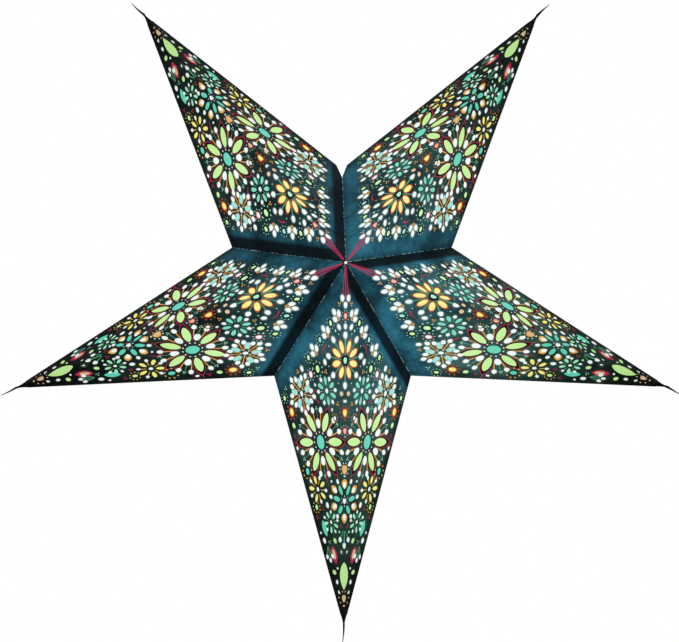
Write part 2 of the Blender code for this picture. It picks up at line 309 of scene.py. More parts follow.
# How far each fan is from the crown and from the valley, and the colour of the medallion after it
VALLEY_FANS = ((44, 27.6, "lime"), (66, 27.4, "cyan"), (90, 27.6, "lime"))


def valley_fans():
    """Fans of drops that point at the valley, with a medallion after each."""
    crown = FLAT_CROWN / mm
    turn = degrees(atan2(VALLEY_NORMAL[1], VALLEY_NORMAL[0]))
    shapes = []
    for reach, depth, colour in VALLEY_FANS:
        fan = crown + VALLEY_WAY * reach - VALLEY_NORMAL * depth
        shapes += drop_fan(*fan, turn, 0.8, 9.2, 3.0, "gold ink", 36)
        after = crown + VALLEY_WAY * (reach + 11) - VALLEY_NORMAL * 20.5
        shapes += medallion(*after, 2.5, colour, "dark ink", "mint")
    return shapes


# Round the crown: each crimson ray's direction, start, end and half width, and each drop's place and size
CROWN_RAYS = ((180, 2.6, 31, 0.40), (173, 3.6, 27.5, 0.55))
CROWN_DROPS = ((173, 31.5, 3.0), (180, 36.6, 2.6))


def crown_rays():
    """Crimson rays that start narrow at the middle of the star and end beside white drops."""
    crown = FLAT_CROWN / mm
    shapes = []
    for turn, start, end, half in CROWN_RAYS:
        along = np.array([start, end, end + 1.5, end, start])
        across = np.array([-0.2, -half, 0, half, 0.2])
        shapes.append(("crimson ink", laid(*crown, turn, along, across)))
    return shapes + [drop(*crown, *place) for place in CROWN_DROPS]


def tip_leaves():
    """What fills the narrow end: a lime leaf on the ridge, a crimson one beside it and fans of drops."""
    return [
        ("crimson ink", leaf(61, 13.0, 8.0, 4.1, 22)),
        ("tan", oval(61.6, 13.2, 4.8, 2.2, 22, 0, 12)),
        ("lime", leaf(45, 0, 12.5, 5.6)),
        ("turquoise", leaf(82, 26.0, 7.5, 3.3, 25)),
        *drop_fan(88, 0, 180, 2.5, 15.0, 2.6, "green ink", 25),
        *drop_fan(68, 22.0, 198, 1.5, 13.0, 2.2, "green ink", 19),
        *medallion(24.5, 0, 3.4, "tan", "dark ink", "tan"),
        drop(37.5, 9.0, 0, 0, 2.1),
        drop(29.0, 6.6, 0, 0, 1.5),
    ]


# Where each medallion is, its size, and the colours of its window, rim and dots
MEDALLIONS = (
    (274.2, 0.0, 2.5, "tan", "crimson ink", "mint"),
    (190.0, 0.0, 3.2, "yellow", "orange ink", "orange ink"),
    (174.0, 0.0, 2.6, "tan", "crimson ink", "mint"),
    (140.0, 0.0, 3.0, "tan", "gold ink", "white"),
    (222.0, 36.5, 3.4, "lime", "dark ink", "mint"),
    (177.0, 71.5, 3.4, "yellow", "orange ink", "orange ink"),
    (128.0, 49.5, 3.3, "turquoise", "dark ink", "gold ink"),
    (187.5, 81.5, 2.3, "lime", "dark ink", "mint"),
    (215.5, 45.5, 2.7, "white", "crimson ink", "mint"),
    (98.5, 37.0, 2.5, "lime", "dark ink", "gold ink"),
    (183.0, 13.0, 2.0, "white", "dark ink", "gold ink"),
    (146.0, 63.5, 1.9, "white", "dark ink", "crimson ink"),
    (66.0, 3.6, 1.4, "white", "dark ink", "mint"),
)

# Where each tendril starts, its direction, length and sway
TENDRILS = (
    (192.0, 34.0, 30, 13, 2.2),
    (133.5, 24.0, 200, 13, -2.0),
    (245.0, 25.0, 150, 10, -1.6),
)


def larger_shapes():
    """The flowers and what goes with them, later ones over earlier ones."""
    along, off = RIDGE / mm, FLAT_NOTCH[1] / mm
    shapes = crown_rays() + tip_leaves()
    for x, y, turn, length, sway in TENDRILS:
        shapes.append(("crimson ink", tendril(x, y, turn, length, sway, 1.5)))
    shapes += sun(0.736 * along, 0)
    shapes += rosette(0.350 * along, 0)
    shapes += bloom(0.493 * along, 0.333 * off, 12)
    shapes += spray(0.612 * along, 0.604 * off, 20)
    shapes += daisy(205.0, 24.0, 6, 8.6, "turquoise", "green ink", 14)
    shapes += valley_fans() + [drop(265.4, 0, 0, 0, 2.3)]
    shapes += daisy(89.5, 17.5, 5, 6.8, "mint", "green ink", 40)
    shapes += daisy(115.0, 35.5, 5, 8.2, "yellow", "gold ink", 25)
    for place in MEDALLIONS:
        shapes += medallion(*place)
    return shapes


# What fills the free room: its size and clearance, how many dots make one and its colours
FILLERS = (
    (2.7, 2.3, 1, ("white", "lime", "white", "tan")),
    (2.3, 1.6, 3, ("crimson ink", "mint", "gold ink", "crimson ink")),
    (1.4, 2.2, 1, ("white", "mint", "white", "mint")),
)


def scattered(shapes):
    """Ovals, threes of dots and small ovals at random in the room that all other shapes leave free."""
    rng = np.random.default_rng(7)
    rings = [ring.mean(0) + (ring - ring.mean(0)) * share for _, ring in shapes for share in (1, 0.6, 0.2)]
    taken = np.concatenate(rings)
    spots = rng.uniform((17, 0), (300, 92), (9000, 2))
    to_valley = (FLAT_CROWN / mm - spots) @ VALLEY_NORMAL
    to_side = spots[:, 0] * sin(TIP_ANGLE) - spots[:, 1] * cos(TIP_ANGLE)
    added = []
    for size, room, count, kinds in FILLERS:
        for spot in spots[(to_valley > 15.2 + size) & (to_side > 2.4 + size)]:
            if np.linalg.norm(taken - spot, axis=1).min() > size + room:
                kind, turn = kinds[rng.integers(len(kinds))], rng.uniform(0, 180)
                ring = oval(*spot, size, size * 0.8, turn, 0, 9)
                added += dots(kind, *spot, 1.35, 3, 0.72, turn) if count == 3 else [(kind, ring)]
                taken = np.concatenate([taken, ring, spot[None]])
    return added


pattern = larger_shapes()
pattern += scattered(pattern)
pattern = [(kind, ring * mm) for kind, ring in pattern]


# Sheets cut from a flat outline

def edge_line(start, end, inset):
    """The line from start to end, moved inset to its left: its outward normal and its distance."""
    along = unit(end - start)
    normal = np.array([along[1], -along[0]])
    return normal, normal @ start - inset


def trimmed(corners, lines):
    """What is left of an outline once it is cut along each line."""
    for normal, distance in lines:
        kept = []
        for here, after in zip(corners, corners[1:] + corners[:1]):
            inside, next_inside = distance - normal @ here, distance - normal @ after
            if inside >= 0:
                kept.append(here)
            if inside * next_inside < 0:
                kept.append(here + (after - here) * inside / (inside - next_inside))
        corners = kept
    return np.array(corners)


def panel_outline(at_seam, inset=0.0, valley_inset=0.0, tip_inset=0.0):
    """A panel's triangle without its pinched end and its corner at the crown.

    Beside the seam its corner at the notch is cut off too, for the cord.
    """
    middle = np.array([-cos(CROWN_ANGLE / 2), sin(CROWN_ANGLE / 2)])
    to_tip = unit(FLAT_TIP - FLAT_NOTCH)
    spread, rise = atan2(NOTCH[1], TIP_REACH - NOTCH[0]), atan2(HALF_DEPTH, TIP_REACH)
    end_at_side = FLAT_TIP - to_tip * TIP_TRIM / cos(spread)
    end_at_ridge = np.array([TIP_TRIM / cos(rise), 0])
    lines = [
        edge_line(FLAT_TIP, FLAT_CROWN, inset),
        (-middle, -middle @ (FLAT_CROWN + middle * (CROWN_TRIM + inset))),
        edge_line(FLAT_CROWN, FLAT_NOTCH, valley_inset),
        edge_line(FLAT_NOTCH, FLAT_TIP, inset),
        edge_line(end_at_side, end_at_ridge, inset + tip_inset),
    ]
    if at_seam:
        cut_start = FLAT_NOTCH - VALLEY_WAY * CORD_CUT_SEAM
        cut_end = FLAT_NOTCH + to_tip * CORD_CUT_SIDE
        lines.append(edge_line(cut_start, cut_end, inset))
    return trimmed([FLAT_TIP, FLAT_CROWN, FLAT_NOTCH], lines)


def counter_clockwise(ring):
    x, y = ring.T
    return ring if (x * np.roll(y, -1) - y * np.roll(x, -1)).sum() > 0 else ring[::-1]


def cut_up(outline, rings):
    """Triangles of a flat outline with the rings cut into it.

    With them come the last ring that each triangle lies in, and the last that each corner is from, or -1.
    """
    rings = [counter_clockwise(ring) for ring in [outline, *rings]]
    ends = np.cumsum([0] + [len(ring) for ring in rings])
    faces = [list(range(start, end)) for start, end in zip(ends, ends[1:])]
    corners = [Vector(corner) for corner in np.concatenate(rings).tolist()]
    points, _, made, from_corners, _, from_rings = delaunay_2d_cdt(corners, [], faces, 1, 1e-7, True)
    inside = [0 in origin for origin in from_rings]
    triangles = np.array([face for face, kept in zip(made, inside) if kept])
    top = np.array([max(origin) - 1 for origin, kept in zip(from_rings, inside) if kept])
    ring_of = np.repeat(np.arange(len(rings)), [len(ring) for ring in rings]) - 1
    corner_ring = np.array([ring_of[max(origin)] if origin else -1 for origin in from_corners])
    return np.array(points), triangles, top, corner_ring


def thick_sheet(flat, triangles, low, high):
    """Corners and faces of a sheet between two heights: its top, its underside and a wall at each open edge.

    The last result is the flat triangle that each face comes from.
    """
    count = len(flat)
    corners = np.concatenate([np.c_[flat, np.full(count, high)], np.c_[flat, np.full(count, low)]])
    edges = np.concatenate([triangles[:, [0, 1]], triangles[:, [1, 2]], triangles[:, [2, 0]]])
    owner = np.tile(np.arange(len(triangles)), 3)
    keys = np.sort(edges, 1) @ [count, 1]
    _, first, times = np.unique(keys, return_index=True, return_counts=True)
    rim = first[times == 1]
    a, b = edges[rim].T
    walls = np.concatenate([np.stack([b, a, a + count], 1), np.stack([b, a + count, b + count], 1)])
    faces = np.concatenate([triangles, triangles[:, ::-1] + count, walls])
    source = np.concatenate([np.arange(len(triangles))] * 2 + [owner[rim]] * 2)
    return corners, faces, source


def add_object(name, data):
    thing = bpy.data.objects.new(name, data)
    bpy.context.scene.collection.objects.link(thing)
    return thing


def add_mesh(name, corners, faces, material, smooth):
    """A new object from an array of corners and a list of faces."""
    mesh = bpy.data.meshes.new(name)
    mesh.from_pydata(corners.tolist(), [], faces)
    mesh.polygons.foreach_set("use_smooth", np.full(len(faces), smooth))
    mesh.materials.append(material)
    return add_object(name, mesh)


def add_sheet(name, made, ways, material, colours, spill=None):
    """A cut sheet put in its panel's place, with its flat corners as UV and a colour for each face.

    The spill, from 0 to 1 at each flat corner, is how much light reaches it from a window beside it. Corners
    that no face uses are left out.
    """
    corners, faces, source = made
    origin, axes = ways
    if np.linalg.det(axes) < 0:
        faces = faces[:, ::-1]
    used, places = np.unique(faces, return_inverse=True)
    corners = corners[used]
    thing = add_mesh(name, corners @ axes + origin, places.reshape(faces.shape).tolist(), material, False)
    mesh = thing.data
    flat = corners[:, :2]
    loops = np.empty(len(mesh.loops), int)
    mesh.loops.foreach_get("vertex_index", loops)
    mesh.uv_layers.new(name="flat").data.foreach_set("uv", flat[loops].ravel())
    tint = mesh.attributes.new("tint", "FLOAT_COLOR", "CORNER")
    tint.data.foreach_set("color", np.repeat(colours[source], 3, axis=0).ravel())
    if spill is not None:
        both_sides = np.tile(spill, 2)
        mesh.attributes.new("spill", "FLOAT", "POINT").data.foreach_set("value", both_sides[used])
    return thing


# Materials

class Wire:
    """An output in a material. Arithmetic on it adds Math nodes."""

    def __init__(self, paint, socket):
        self.paint, self.socket = paint, socket

    def math(self, operation, *values):
        return self.paint.node("ShaderNodeMath", {"operation": operation}, dict(enumerate(values)))

    def __add__(self, other):
        return self.math("ADD", self, other)

    def __sub__(self, other):
        return self.math("SUBTRACT", self, other)

    def __rsub__(self, other):
        return self.math("SUBTRACT", other, self)

    def __mul__(self, other):
        return self.math("MULTIPLY", self, other)

    def __pow__(self, other):
        return self.math("POWER", self, other)

    __radd__, __rmul__ = __add__, __mul__

    def over(self, edge, soft):
        """0 below edge and 1 above it, with a soft step between."""
        return self.paint.node("ShaderNodeMapRange", {"interpolation_type": "SMOOTHSTEP"}, {
            "Value": self, "From Min": edge - soft / 2, "From Max": edge + soft / 2})


class Paint:
    """A material with one Principled shader."""

    def __init__(self, name):
        self.material = bpy.data.materials.new(name)
        self.material.use_nodes = True
        self.tree = self.material.node_tree
        self.shader = self.tree.nodes["Principled BSDF"]

    def node(self, kind, settings, inputs, out=0):
        """A node with its settings made first. The setting stops holds a ramp's places and colours."""
        made = self.tree.nodes.new(kind)
        for name, value in settings.items():
            if name == "stops":
                while len(made.color_ramp.elements) < len(value):
                    made.color_ramp.elements.new(1.0)
                for stop, (place, colour) in zip(made.color_ramp.elements, value):
                    stop.position = place
                    stop.color = (*colour, 1)
            else:
                setattr(made, name, value)
        for name, value in inputs.items():
            self.join(made.inputs[name], value)
        return Wire(self, made.outputs[out])

    def join(self, socket, value):
        if isinstance(value, Wire):
            self.tree.links.new(value.socket, socket)
        elif socket.type == "RGBA" and len(value) == 3:
            socket.default_value = (*value, 1)
        else:
            socket.default_value = value

    def place(self):
        return self.node("ShaderNodeTexCoord", {}, {}, "Object")

    def tint(self, out=0):
        """The sheet's own colour, or with out 1 whether there is one."""
        return self.node("ShaderNodeVertexColor", {"layer_name": "tint"}, {}, out)

    def noise(self, scale, detail=3.0, rough=0.55, warp=0.0):
        return self.node("ShaderNodeTexNoise", {}, {
            "Vector": self.place(), "Scale": scale, "Detail": detail,
            "Roughness": rough, "Distortion": warp})

    def ramp(self, share, *stops):
        return self.node("ShaderNodeValToRGB", {"stops": stops}, {0: share})

    def mix(self, share, low, high, blend="MIX"):
        return self.node("ShaderNodeMix", {"data_type": "RGBA", "blend_type": blend},
                         {0: share, 6: low, 7: high}, 2)

    def grey(self, share):
        return self.node("ShaderNodeCombineColor", {}, {0: share, 1: share, 2: share})

    def scaled(self, colour, share):
        return self.mix(1.0, colour, self.grey(share), "MULTIPLY")

    def bump(self, height, strength, distance, after=None):
        inputs = {"Height": height, "Strength": strength, "Distance": distance}
        if after is not None:
            inputs["Normal"] = after
        return self.node("ShaderNodeBump", {}, inputs)

    def middle_distance(self):
        """How far a place is from the line from front to back through the star's middle, in metres."""
        level = self.node("ShaderNodeVectorMath", {"operation": "MULTIPLY"}, {0: self.place(), 1: (1, 0, 1)})
        middle = CENTRE.tolist()
        return self.node("ShaderNodeVectorMath", {"operation": "DISTANCE"}, {0: level, 1: middle}, "Value")

    def lower_right_reach(self):
        """How far a place is from the star's middle towards the lower right, in metres."""
        way = unit(np.array([1, 0, -0.6]))
        reach = self.node("ShaderNodeVectorMath", {"operation": "DOT_PRODUCT"}, {
            0: self.place(), 1: way.tolist()}, "Value")
        return reach - float(CENTRE @ way)

    def use(self, **sockets):
        for name, value in sockets.items():
            self.join(self.shader.inputs[name.replace("_", " ").title().replace("Ior", "IOR")], value)
        return self.material


def card_paint(name, backed):
    """Printed card that the lamp shines through a little, less with the distance from the star's middle.

    The light is cloudy like pulp, is kept back by the fold at the side crease and is fullest in the bare
    strip beside the valley. Where a glue tab backs it, that strip is near black instead. More light comes
    through towards the lower right, and near a white window its light spills over the card. The printed ink
    lets more of the light through, in its own colour. The card's own colour is painted darker towards the
    tips, as shade far from the lamp. The fold at the valley is cracked to pale fibres, with a painted
    highlight along it, most on the side without a tab.
    """
    paint = Paint(name)
    flat = paint.node("ShaderNodeUVMap", {"uv_map": "flat"}, {})
    x = paint.node("ShaderNodeSeparateXYZ", {}, {0: flat}, 0)
    y = paint.node("ShaderNodeSeparateXYZ", {}, {0: flat}, 1)
    normal_x, normal_y = VALLEY_NORMAL.tolist()
    to_valley = float(FLAT_CROWN @ VALLEY_NORMAL) - x * normal_x - y * normal_y
    to_side = x * sin(TIP_ANGLE) - y * cos(TIP_ANGLE)
    tint, inked = paint.tint(), paint.tint(1)
    far = paint.middle_distance()
    cloud = paint.noise(22, 4, 0.62)
    pulp = paint.noise(210, 4, 0.7)
    lit = (1 - far.over(0.12, 0.28)) ** 1.3

    through = paint.ramp(
        far * (1 / 0.32),
        (0.05, (0.0130, 0.0520, 0.0700)), (0.20, (0.0140, 0.0460, 0.0540)), (0.34, (0.0100, 0.0300, 0.0290)),
        (0.50, (0.0070, 0.0200, 0.0160)), (0.66, (0.0040, 0.0120, 0.0080)), (0.80, (0.0015, 0.0035, 0.0020)),
        (0.95, (0.0008, 0.0006, 0.0003)))
    bare = 1 - to_valley.over(17 * mm, 10 * mm)
    through = paint.mix(bare * 0.85, through, (0.0090, 0.0640, 0.0960))
    amount = (0.40 + 1.5 * cloud.over(0.5, 0.36)) * (0.40 + 1.3 * pulp)
    amount = amount * (0.45 + 0.55 * to_side.over(6 * mm, 7 * mm))
    if backed:
        amount = amount * (0.07 + 0.93 * to_valley.over(TAB_WIDTH - 3.0 * mm, 5.0 * mm))
    else:
        amount = amount * (0.60 + 0.40 * to_valley.over(4 * mm, 6 * mm))
    amount = amount * (0.70 + 2.0 * paint.lower_right_reach().over(0.08, 0.36))
    printed = inked * (0.62 + 0.30 * lit) + (1 - inked) * amount
    shine = paint.scaled(paint.mix(inked, through, tint), printed)
    spill = paint.node("ShaderNodeAttribute", {"attribute_name": "spill"}, {}, "Fac")
    shine = paint.mix(spill * (0.03 + 0.62 * lit * lit), shine, (0.80, 0.95, 0.93))

    base = paint.mix(pulp.over(0.58, 0.24) * 0.5, (0.0022, 0.0032, 0.0035), (0.0050, 0.0085, 0.0095))
    # Painted shade: the card's own colour darkens to a quarter towards the tips, far from the lamp
    base = paint.scaled(base, 1 - 0.75 * far.over(0.24, 0.14))
    base = paint.mix(inked, base, paint.scaled(tint, 0.16))
    # Pale cracked fibres along the valley fold, with a painted highlight in them, faint where a glue tab
    # backs the card
    cracks_and_highlight = (1 - to_valley.over(0.62 * mm, 0.45 * mm)) * paint.noise(300, 2, 0.6).over(0.54, 0.08)
    base = paint.mix(cracks_and_highlight * (0.10 if backed else 0.75), base, (0.55, 0.66, 0.66))
    waves = paint.bump(paint.noise(11, 2, 0.5), 0.35, 4 * mm)
    grain = paint.bump(paint.noise(900, 3, 0.6), 0.25, 0.12 * mm, waves)
    return paint.use(base_color=base, roughness=0.50 + 0.25 * pulp, specular_ior_level=0.03,
                     emission_color=shine, emission_strength=1.0, normal=grain)


def tissue_paint():
    """Coloured tissue in front of the bulb: it glows in its own colour, paler near the middle."""
    paint = Paint("lit coloured tissue")
    tint = paint.tint()
    far = paint.middle_distance()
    fibre = paint.noise(420, 4, 0.7, 0.6)
    cloud = paint.noise(38, 2, 0.5)
    colour = paint.mix((1 - far.over(0.10, 0.18)) * 0.22, tint, (1.0, 1.0, 0.96))
    light = (0.96 - 0.22 * far.over(0.20, 0.20)) * (0.88 + 0.12 * fibre + 0.08 * cloud)
    grain = paint.bump(fibre, 0.3, 0.1 * mm)
    return paint.use(base_color=paint.scaled(tint, 0.08 + 0.05 * fibre), roughness=0.85,
                     specular_ior_level=0.2, emission_color=paint.scaled(colour, light),
                     emission_strength=1.0, normal=grain)


def strip_paint():
    """Bare dark card, as on the inside of the folds."""
    paint = Paint("bare dark card")
    pulp = paint.noise(180, 5, 0.7)
    base = paint.mix(pulp, (0.004, 0.012, 0.015), (0.009, 0.028, 0.033))
    grain = paint.bump(paint.noise(900, 3, 0.6), 0.3, 0.12 * mm)
    return paint.use(base_color=base, roughness=0.70 + 0.15 * pulp, specular_ior_level=0.1, normal=grain)


def twist_paint():
    """Pinched card: near black, rubbed slightly lighter where it stands up."""
    paint = Paint("pinched black card")
    rub = paint.noise(420, 4, 0.65)
    base = paint.mix(rub.over(0.60, 0.16), (0.0014, 0.0015, 0.0016), (0.009, 0.010, 0.011))
    grain = paint.bump(rub, 0.6, 0.25 * mm)
    return paint.use(base_color=base, roughness=0.55 + 0.2 * rub, specular_ior_level=0.03, normal=grain)


def plastic_paint(name, colour, rough):
    paint = Paint(name)
    speck = paint.noise(700, 2, 0.5)
    cloud = paint.noise(60, 2, 0.5)
    base = paint.mix(cloud * 0.5, colour, tuple(c * 0.86 for c in colour))
    grain = paint.bump(speck, 0.12, 0.1 * mm)
    return paint.use(base_color=base, roughness=rough + 0.12 * cloud, normal=grain)


def brass_paint():
    paint = Paint("brass")
    stain = paint.noise(220, 4, 0.6)
    base = paint.mix(stain, (0.78, 0.58, 0.24), (0.60, 0.42, 0.17))
    return paint.use(base_color=base, metallic=1.0, roughness=0.24 + 0.22 * stain)


def globe_paint():
    paint = Paint("frosted lit glass")
    frost = paint.noise(500, 2, 0.5)
    light = paint.mix(frost, (0.90, 0.80, 0.60), (0.90, 0.85, 0.72))
    return paint.use(base_color=(0.3, 0.3, 0.28), roughness=0.35 + 0.1 * frost, emission_color=light,
                     emission_strength=1.0)


PLAIN_CARD = card_paint("pierced printed card", False)
BACKED_CARD = card_paint("pierced printed card over a glue tab", True)
LIT_TISSUE = tissue_paint()
STRIP = strip_paint()
TWIST = twist_paint()
HOLDER = plastic_paint("off-white plastic", (0.80, 0.79, 0.74), 0.38)
BRASS = brass_paint()
GLOBE = globe_paint()


# The points: card, tissue and glue strips

def settled(thing, body, slot, *nodes):
    """The piece moves with a body and stands for CAD nodes, which it hides. The slot is not used."""
    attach(thing, body)
    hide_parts(*nodes)


def beside_seam(direction, half):
    """Whether a half of the point with this direction lies at the seam."""
    return (direction + half * HALF_POINT_TURN) % 360 == SEAM


def ink_table(kinds):
    """The colour of each shape on the card, with 1 where it is ink, and of the bare card last."""
    bare = (0, 0, 0, 0)
    return np.array([(*INKS[kind], 1.0) if kind in INKS else bare for kind in kinds] + [bare])


def tissue_table(kinds):
    """The colour behind each window, and of the plain tissue last."""
    return np.array([(*TISSUES[kind], 1.0) for kind in kinds] + [(*BARE_TISSUE, 1.0)])


def swollen(ring, by):
    """A ring pushed out from its middle, so that the tissue's colour runs on behind the card."""
    spokes = ring - ring.mean(0)
    return ring.mean(0) + spokes * (1 + by / np.linalg.norm(spokes, axis=1))[:, None]


def cut_card(at_seam):
    """The card with the windows cut out of it and the ink printed on it.

    A ring round each white window bounds the light that spills over: 1 at the window's edge, 0 at the ring.
    """
    is_bright = [kind == "white" and np.ptp(ring[:, 0]) > SPILLING_LENGTH for kind, ring in pattern]
    rims = [("rim", swollen(ring, SPILL_REACH)) for (_, ring), bright in zip(pattern, is_bright) if bright]
    shapes = rims + pattern
    kinds = [kind for kind, _ in shapes]
    is_hole = np.array([kind in TISSUES for kind in kinds] + [False])
    spilling = np.array([False] * len(rims) + is_bright + [False])
    outline = panel_outline(at_seam, -CARD_OVERHANG)
    flat, triangles, top, corner_ring = cut_up(outline, [ring for _, ring in shapes])
    solid = ~is_hole[top]
    spill = spilling[corner_ring].astype(float)
    return thick_sheet(flat, triangles[solid], 0, CARD), ink_table(kinds)[top[solid]], spill


def cut_tissue(at_seam, valley_inset):
    """The lining, coloured behind each window."""
    holes = [(kind, swollen(ring, COLOUR_OVERLAP)) for kind, ring in pattern if kind in TISSUES]
    outline = panel_outline(at_seam, 0, valley_inset, TISSUE_TIP_INSET)
    flat, triangles, top, _ = cut_up(outline, [ring for _, ring in holes])
    colours = tissue_table([kind for kind, _ in holes])
    return thick_sheet(flat, triangles, -GLUE - TISSUE, -GLUE), colours[top]


def cut_strip(at_seam):
    """The glue tab behind the valley's edge."""
    end = (CORD_CUT_SEAM if at_seam else 0) + TAB_END_INSET
    outline = trimmed([FLAT_TIP, FLAT_CROWN, FLAT_NOTCH], [
        edge_line(FLAT_CROWN, FLAT_NOTCH, TAB_INSET),
        edge_line(FLAT_NOTCH, FLAT_CROWN, -TAB_WIDTH),
        (VALLEY_WAY, VALLEY_WAY @ FLAT_NOTCH - end),
        (-VALLEY_WAY, -VALLEY_WAY @ FLAT_CROWN - TAB_END_INSET),
        edge_line(FLAT_TIP, FLAT_CROWN, TAB_RIDGE_INSET),
    ])
    flat, triangles, _, _ = cut_up(outline, [])
    return thick_sheet(flat, triangles, -GLUE - CARD, -GLUE), np.zeros((len(triangles), 4))


cards = {at_seam: cut_card(at_seam) for at_seam in (False, True)}
strips = {at_seam: cut_strip(at_seam) for at_seam in (False, True)}
tissues = {
    (at_seam, backed): cut_tissue(at_seam, valley_inset)
    for at_seam in (False, True)
    for backed, valley_inset in ((False, TISSUE_VALLEY_INSET), (True, TAB_WIDTH + TISSUE_TAB_GAP))
}

for point, (direction, ahead, behind, *_) in POINTS.items():
    for half, half_name in ((1, ahead), (-1, behind)):
        at_seam = beside_seam(direction, half)
        backed = (half == 1) != at_seam
        for face, face_name in ((1, "front"), (-1, "back")):
            label = f"{point}_{face_name}_{half_name}"
            ways = panel_ways(direction, half, face)
            made, colours, spill = cards[at_seam]
            finish = BACKED_CARD if backed else PLAIN_CARD
            card = add_sheet(label + "_pierced_card", made, ways, finish, colours, spill)
            settled(card, label, "printed_card", label + "_panel")
            made, colours = tissues[at_seam, backed]
            tissue = add_sheet(label + "_tissue", made, ways, LIT_TISSUE, colours)
            settled(tissue, label, "coloured_tissue", label + "_lining")
            if backed:
                made, colours = strips[at_seam]
                strip = add_sheet(label + "_glue_strip", made, ways, STRIP, colours)
                settled(strip, label, "bare_card", label + "_tab")


# Pinched tips

def skin(name, grid, material):
    """A closed skin over a grid of rings, one in each row. The first and last close on their middles."""
    rows, around = grid.shape[:2]
    corners = np.concatenate([grid.reshape(-1, 3), grid[0].mean(0)[None], grid[-1].mean(0)[None]])
    here = np.arange(around)
    after = (here + 1) % around
    row = np.arange(rows - 1)[:, None] * around
    walls = np.stack([row + here, row + after, row + after + around, row + here + around], -1)
    start, end = np.full(around, rows * around), np.full(around, rows * around + 1)
    last = (rows - 1) * around
    faces = walls.reshape(-1, 4).tolist()
    faces += np.stack([after, here, start], 1).tolist()
    faces += np.stack([last + here, last + after, end], 1).tolist()
    return add_mesh(name, corners, faces, material, True)


def twist_grid(direction, lean, bend, thick):
    """Rings along a pinched tip, from the card's end through the tip into a thin twisted tail.

    A ring's halves are the cube root of the cone's half cubed plus the tail's half cubed. The cone's falls
    to nothing at the tip. The tail's grows to thick at the tip and then thins to TAIL_END by (1 - s) ^ 1.2,
    for s from 0 at the tip to 1 at the end. The ring's power goes from 1, a diamond, to 2, an oval. The
    middle line leaves the point by lean s + bend s squared, in tail lengths.
    """
    around = 32
    along = np.r_[np.linspace(-TIP_TRIM, -0.7 * mm, 16), np.linspace(0, TAIL_LENGTH, 22)][:, None]
    t = np.arange(around)[None] * 2 * pi / around
    cone = np.clip(-along / TIP_TRIM, 0, 1)
    tail = np.clip(along / TAIL_LENGTH, 0, 1)
    spread, rise = NOTCH[1] / (TIP_REACH - NOTCH[0]), HALF_DEPTH / TIP_REACH
    stalk = (TAIL_END + (thick * mm - TAIL_END) * (1 - tail) ** 1.2) * (1 - cone)
    wide = np.cbrt((TIP_TRIM * spread * cone) ** 3 + stalk ** 3)
    tall = np.cbrt((TIP_TRIM * rise * cone) ** 3 + stalk ** 3)
    power = 2 - cone
    size = (np.abs(np.cos(t)) ** power + np.abs(np.sin(t)) ** power) ** (-1 / power)
    ripple = 0.03 * np.sin(3 * t + along * 900) + 0.02 * np.sin(5 * t - along * 1700)
    crumple = 1 - (1 - cone) * (0.06 + ripple * (1 - 0.4 * tail))
    turn = t + 1.1 * tail
    across = wide * size * np.cos(turn) * crumple + TAIL_LENGTH * tail * (lean + bend * tail)
    out = tall * size * np.sin(turn) * crumple
    local = np.stack(np.broadcast_arrays(TIP_REACH + along, across, out), -1)
    return local @ point_ways(direction) + CENTRE


for point, (direction, _, _, lean, bend, thick) in POINTS.items():
    twist = skin(point + "_pinched_end", twist_grid(direction, lean, bend, thick), TWIST)
    body = ROOT if point == "bottom_point" else point + "_tip"
    settled(twist, body, "pinched_card", point + "_tip")


# Strips inside the creases

# How far the strips run along the creases, as shares of their lengths from the tip
STRIP_START, STRIP_END, STRIP_SEAM_END, STRIP_TAPER = 0.10, 0.985, 0.86, 0.04

# How far the free side turns down at each crease, from its panel to just inside the neighbour
RIDGE_FOLD, SIDE_FOLD = radians(127), radians(71.8)


def crease_strip(name, end, outward, fold, reach, ways):
    """A strip inside a crease, glued along one panel and bent to lie under the other.

    It runs along the crease, and its free side is 1.5 + 6.5 s mm wide for s, its share of the way from the
    tip, because the crease opens more there when the star folds. Its far end, where s is reach, is narrower.
    Each ring has six corners: the glued edge, the bend and the free edge, and the same on the inner face.
    """
    s = np.array([STRIP_START, reach - STRIP_TAPER, reach])[:, None]
    width = np.array([1, 1, 0.6])[:, None]
    wing = np.array([cos(fold), -sin(fold)])
    inside = np.array([wing[1], -wing[0]])
    bend = np.c_[-1.5 + 0.4 * s, 0 * s - 0.6] * mm
    glued = bend + [-3.0 * mm, 0.1 * mm] * width
    free = bend + (1.5 + 6.5 * s) * mm * width * wing
    ring = np.stack([glued, bend, free, free + CARD * inside, bend + CARD * unit(inside + [0, -1]),
                     glued + [0, -CARD]], 1)
    way = unit(end)
    off = np.array([way[1], -way[0]]) * outward
    flat = (s * end)[:, None] + ring[:, :, :1] * off
    origin, axes = ways
    grid = np.concatenate([flat, ring[:, :, 1:]], 2) @ axes + origin
    return skin(name, grid if np.linalg.det(axes) * outward > 0 else grid[:, ::-1], STRIP)


# Where the strips are in a point: the half and face they are glued to and their crease
STRIP_PLACES = ((1, 1, "ridge"), (1, -1, "ridge"), (1, 1, "side"), (-1, 1, "side"))

for point, (direction, ahead, behind, *_) in POINTS.items():
    for half, face, crease in STRIP_PLACES:
        label = f"{point}_{'front' if face > 0 else 'back'}_{ahead if half > 0 else behind}"
        name = f"{label}_{crease}_strip"
        ways = panel_ways(direction, half, face)
        if crease == "ridge":
            strip = crease_strip(name, FLAT_CROWN, 1, RIDGE_FOLD, STRIP_END, ways)
        else:
            reach = STRIP_SEAM_END if beside_seam(direction, half) else STRIP_END
            strip = crease_strip(name, FLAT_NOTCH, -1, SIDE_FOLD, reach, ways)
        settled(strip, label, "bare_card", label + "_panel")


# The lamp, with its heights from the top of the cord gland

# The turned skins stop this far from their axis
AXIS = 0.02 * mm

